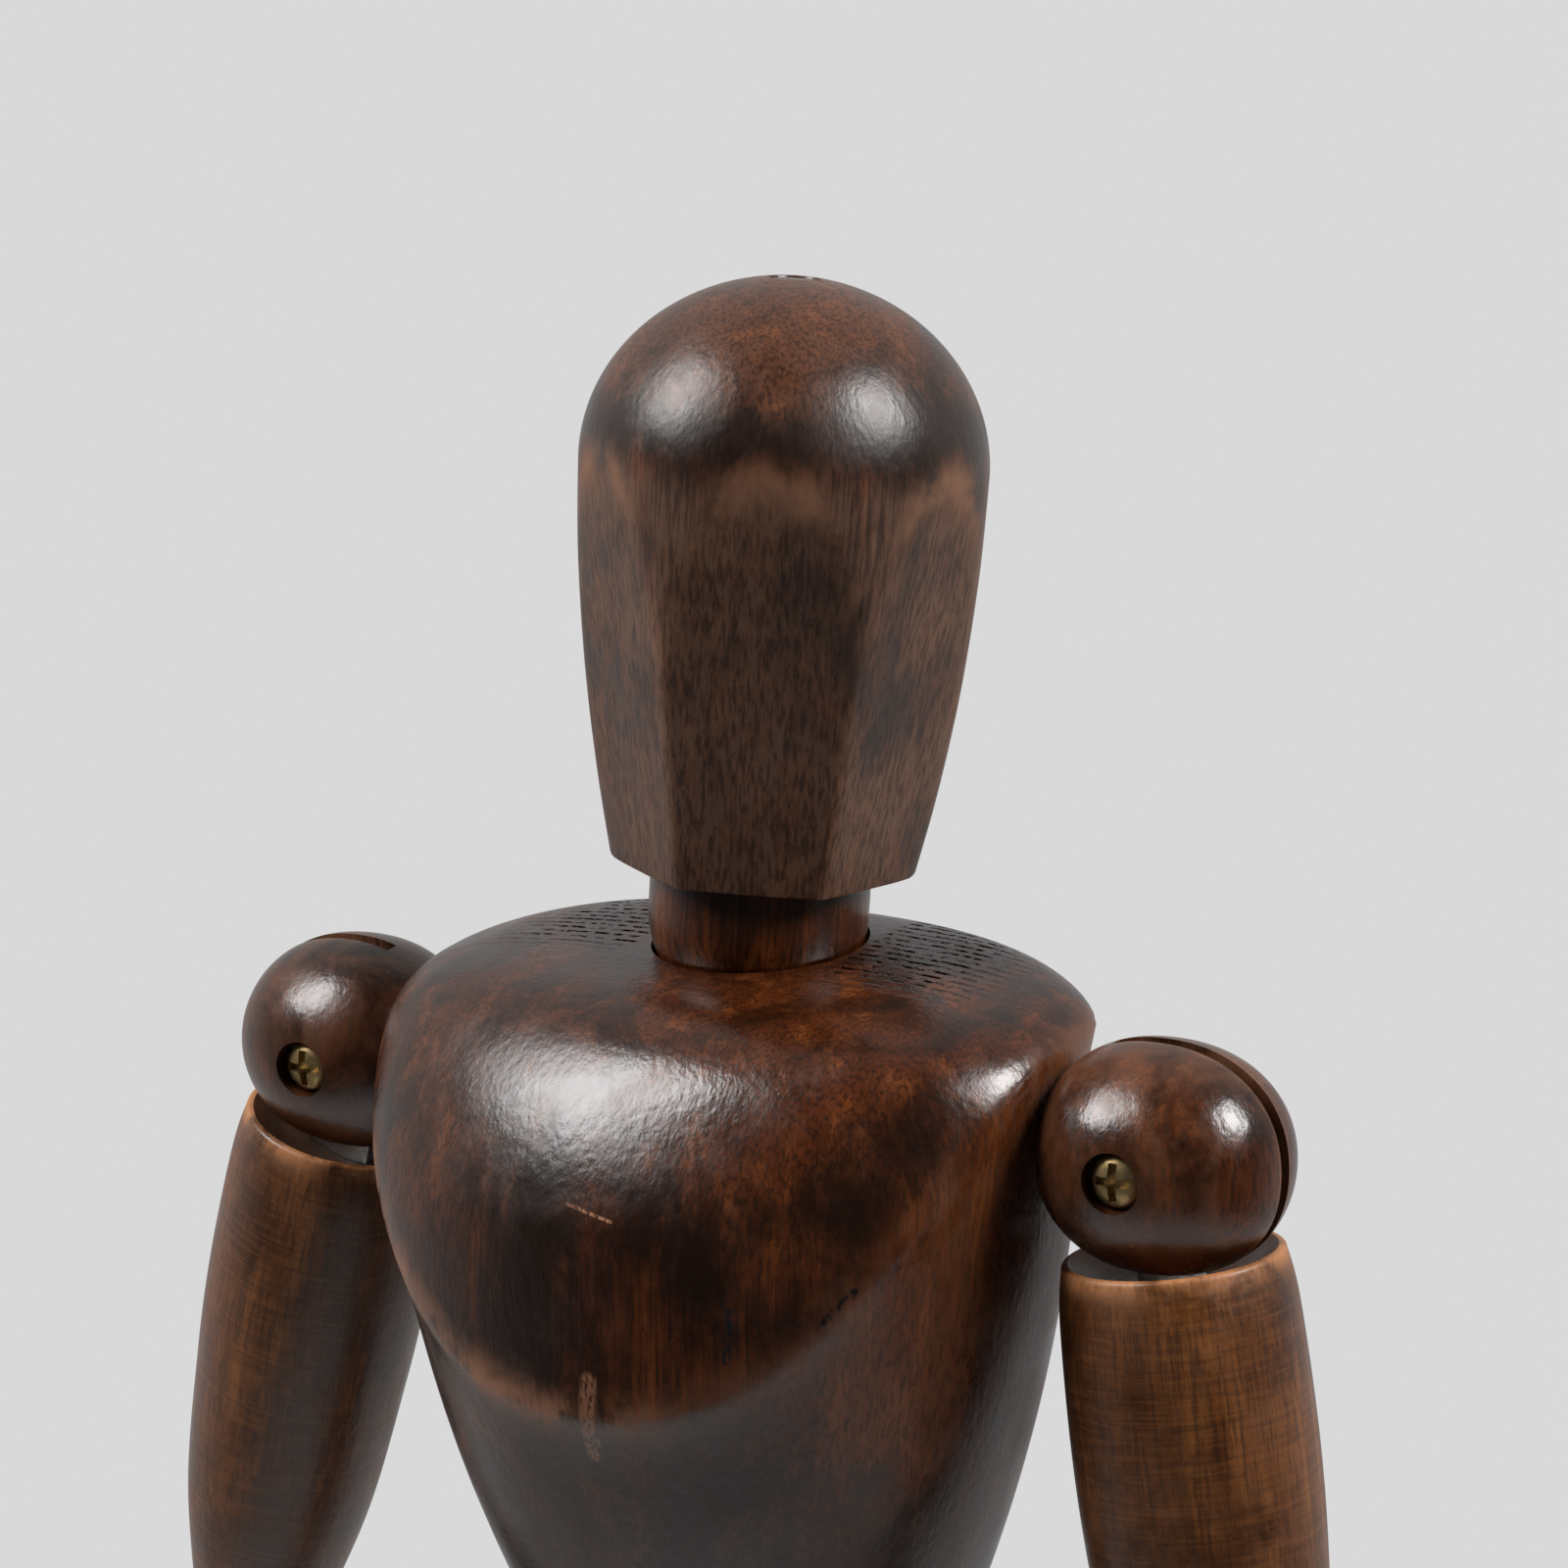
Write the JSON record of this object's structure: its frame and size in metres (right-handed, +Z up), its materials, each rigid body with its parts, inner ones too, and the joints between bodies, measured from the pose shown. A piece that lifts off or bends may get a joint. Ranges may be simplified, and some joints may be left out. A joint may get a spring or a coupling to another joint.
{
  "type": "artist mannequin",
  "caption": "Jointed wooden artist figure with a faceted head, carved chest and turned limbs on screw-pinned ball joints, held by a steel rod on a round wooden base.",
  "frame": {"origin": "centre of the underside of the round base", "axes": "+Z up the figure, -Y the way its chest faces, +X towards its left arm"},
  "size_m": [0.2371, 0.19, 0.6508],
  "materials": {
    "dark_wood": "satin",
    "arm_wood": "satin",
    "stand_wood": "satin",
    "brass": "aged",
    "steel": "plain"
  },
  "bodies": {
    "stand": {"base": "stand_wood", "stand_rod": "steel"},
    "pelvis": {"pelvis": "dark_wood", "waist_pin_lower": "steel", "hip_rod": "steel"},
    "waist_ball": {"waist_ball": "dark_wood"},
    "waist_spring": {"waist_spring": "steel"},
    "chest": {"chest": "dark_wood", "waist_pin_upper": "steel", "shoulder_rod": "steel"},
    "neck_spring": {"neck_spring": "steel"},
    "neck": {"neck": "dark_wood"},
    "head": {"head": "dark_wood", "crown_plug": "dark_wood", "neck_bolt": "steel"},
    "left_shoulder": {"left_shoulder_barrel": "dark_wood", "left_shoulder_screw": "brass"},
    "left_upper_arm": {"left_upper_arm": "arm_wood", "left_upper_arm_tongue": "steel"},
    "left_elbow": {"left_elbow_ball": "dark_wood", "left_elbow_screw": "brass"},
    "left_forearm": {"left_forearm": "arm_wood", "left_forearm_tongue": "steel"},
    "left_wrist": {"left_wrist_ball": "dark_wood", "left_wrist_screw": "brass"},
    "left_hand": {"left_hand": "arm_wood"},
    "left_hip": {"left_hip_barrel": "dark_wood", "left_hip_screw": "brass"},
    "left_thigh": {"left_thigh": "arm_wood", "left_thigh_tongue": "steel", "left_knee_ball": "dark_wood", "left_knee_screw": "brass"},
    "left_shin": {"left_shin": "arm_wood", "left_shin_tongue": "steel"},
    "left_ankle": {"left_ankle_ball": "dark_wood", "left_ankle_screw": "brass"},
    "left_foot": {"left_foot": "arm_wood"},
    "right_shoulder": {"right_shoulder_barrel": "dark_wood", "right_shoulder_screw": "brass"},
    "right_upper_arm": {"right_upper_arm": "arm_wood", "right_upper_arm_tongue": "steel"},
    "right_elbow": {"right_elbow_ball": "dark_wood", "right_elbow_screw": "brass"},
    "right_forearm": {"right_forearm": "arm_wood", "right_forearm_tongue": "steel"},
    "right_wrist": {"right_wrist_ball": "dark_wood", "right_wrist_screw": "brass"},
    "right_hand": {"right_hand": "arm_wood"},
    "right_hip": {"right_hip_barrel": "dark_wood", "right_hip_screw": "brass"},
    "right_thigh": {"right_thigh": "arm_wood", "right_thigh_tongue": "steel", "right_knee_ball": "dark_wood", "right_knee_screw": "brass"},
    "right_shin": {"right_shin": "arm_wood", "right_shin_tongue": "steel"},
    "right_ankle": {"right_ankle_ball": "dark_wood", "right_ankle_screw": "brass"},
    "right_foot": {"right_foot": "arm_wood"}
  },
  "joints": [
    {"name": "stand_turn", "type": "hinge", "parent": "stand", "child": "pelvis", "pos_m": [0, 0.01, 0.374], "axis": [0, 0, 1], "continuous": true},
    {"name": "waist_twist", "type": "hinge", "parent": "pelvis", "child": "waist_ball", "pos_m": [0, 0, 0.44], "axis": [0, 0, 1], "range_deg": [-45, 45]},
    {"name": "waist_lean", "type": "hinge", "parent": "waist_ball", "child": "waist_spring", "pos_m": [0, 0, 0.44], "axis": [0, 1, 0], "range_deg": [-14, 14], "deforming": ["waist_spring"]},
    {"name": "waist_bend", "type": "hinge", "parent": "waist_spring", "child": "chest", "pos_m": [0, 0, 0.44], "axis": [1, 0, 0], "range_deg": [-14, 24], "deforming": ["waist_spring"]},
    {"name": "neck_lean", "type": "hinge", "parent": "chest", "child": "neck_spring", "pos_m": [0, 0.003, 0.565], "axis": [0, 1, 0], "range_deg": [-11.6, 4.4], "deforming": ["neck_spring"]},
    {"name": "neck_nod", "type": "hinge", "parent": "neck_spring", "child": "neck", "pos_m": [0, 0.003, 0.565], "axis": [0.998, 0, -0.0628], "range_deg": [-6, 10], "deforming": ["neck_spring"]},
    {"name": "head_turn", "type": "hinge", "parent": "neck", "child": "head", "pos_m": [0, 0.003, 0.565], "axis": [0.0628, 0.0349, 0.9974], "continuous": true},
    {"name": "left_shoulder_swing", "type": "hinge", "parent": "chest", "child": "left_shoulder", "pos_m": [0.0635, -0.0025, 0.5405], "axis": [-1, 0, 0], "continuous": true},
    {"name": "left_shoulder_spread", "type": "hinge", "parent": "left_shoulder", "child": "left_upper_arm", "pos_m": [0.0635, -0.0025, 0.5405], "axis": [0, -1, 0], "range_deg": [-5.3, 102.7]},
    {"name": "left_elbow_twist", "type": "hinge", "parent": "left_upper_arm", "child": "left_elbow", "pos_m": [0.07773, -0.0025, 0.42941], "axis": [-0.1271, 0, 0.9919], "range_deg": [-5, 180]},
    {"name": "left_elbow_bend", "type": "hinge", "parent": "left_elbow", "child": "left_forearm", "pos_m": [0.07773, -0.0025, 0.42941], "axis": [0.9919, 0, 0.1271], "range_deg": [-57, 28]},
    {"name": "left_wrist_twist", "type": "hinge", "parent": "left_forearm", "child": "left_wrist", "pos_m": [0.08805, -0.04569, 0.34884], "axis": [-0.1122, 0.4695, 0.8758], "continuous": true},
    {"name": "left_wrist_bend", "type": "hinge", "parent": "left_wrist", "child": "left_hand", "pos_m": [0.08805, -0.04569, 0.34884], "axis": [-0.0597, -0.8829, 0.4657], "range_deg": [-50, 50]},
    {"name": "left_hip_swing", "type": "hinge", "parent": "pelvis", "child": "left_hip", "pos_m": [0.036, 0, 0.374], "axis": [-1, 0, 0], "range_deg": [-40, 85]},
    {"name": "left_hip_spread", "type": "hinge", "parent": "left_hip", "child": "left_thigh", "pos_m": [0.036, 0, 0.374], "axis": [0, -1, 0], "range_deg": [0, 50]},
    {"name": "left_knee_bend", "type": "hinge", "parent": "left_thigh", "child": "left_shin", "pos_m": [0.036, 0, 0.224], "axis": [1, 0, 0], "range_deg": [0, 85]},
    {"name": "left_ankle_twist", "type": "hinge", "parent": "left_shin", "child": "left_ankle", "pos_m": [0.036, 0, 0.076], "axis": [0, 0, 1], "range_deg": [-10, 30]},
    {"name": "left_ankle_bend", "type": "hinge", "parent": "left_ankle", "child": "left_foot", "pos_m": [0.036, 0, 0.076], "axis": [-1, 0, 0], "range_deg": [-20, 20]},
    {"name": "right_shoulder_swing", "type": "hinge", "parent": "chest", "child": "right_shoulder", "pos_m": [-0.0635, -0.0025, 0.5405], "axis": [-1, 0, 0], "continuous": true},
    {"name": "right_shoulder_spread", "type": "hinge", "parent": "right_shoulder", "child": "right_upper_arm", "pos_m": [-0.0635, -0.0025, 0.5405], "axis": [0, 0.9976, 0.0698], "range_deg": [-14.8, 93.2]},
    {"name": "right_elbow_twist", "type": "hinge", "parent": "right_upper_arm", "child": "right_elbow", "pos_m": [-0.09587, 0.00498, 0.43354], "axis": [-0.289, 0.0668, -0.955], "range_deg": [-5, 180]},
    {"name": "right_elbow_bend", "type": "hinge", "parent": "right_elbow", "child": "right_forearm", "pos_m": [-0.09587, 0.00498, 0.43354], "axis": [0.9573, 0.0202, -0.2883], "range_deg": [-57, 28]},
    {"name": "right_wrist_twist", "type": "hinge", "parent": "right_forearm", "child": "right_wrist", "pos_m": [-0.11935, -0.03268, 0.35295], "axis": [-0.2552, -0.4094, -0.876], "continuous": true},
    {"name": "right_wrist_bend", "type": "hinge", "parent": "right_wrist", "child": "right_hand", "pos_m": [-0.11935, -0.03268, 0.35295], "axis": [-0.1357, 0.9121, -0.3867], "range_deg": [-50, 50]},
    {"name": "right_hip_swing", "type": "hinge", "parent": "pelvis", "child": "right_hip", "pos_m": [-0.036, 0, 0.374], "axis": [-1, 0, 0], "range_deg": [-40, 85]},
    {"name": "right_hip_spread", "type": "hinge", "parent": "right_hip", "child": "right_thigh", "pos_m": [-0.036, 0, 0.374], "axis": [0, 1, 0], "range_deg": [0, 50]},
    {"name": "right_knee_bend", "type": "hinge", "parent": "right_thigh", "child": "right_shin", "pos_m": [-0.036, 0, 0.224], "axis": [1, 0, 0], "range_deg": [0, 85]},
    {"name": "right_ankle_twist", "type": "hinge", "parent": "right_shin", "child": "right_ankle", "pos_m": [-0.036, 0, 0.076], "axis": [0, 0, -1], "range_deg": [-10, 30]},
    {"name": "right_ankle_bend", "type": "hinge", "parent": "right_ankle", "child": "right_foot", "pos_m": [-0.036, 0, 0.076], "axis": [-1, 0, 0], "range_deg": [-20, 20]}
  ]
}
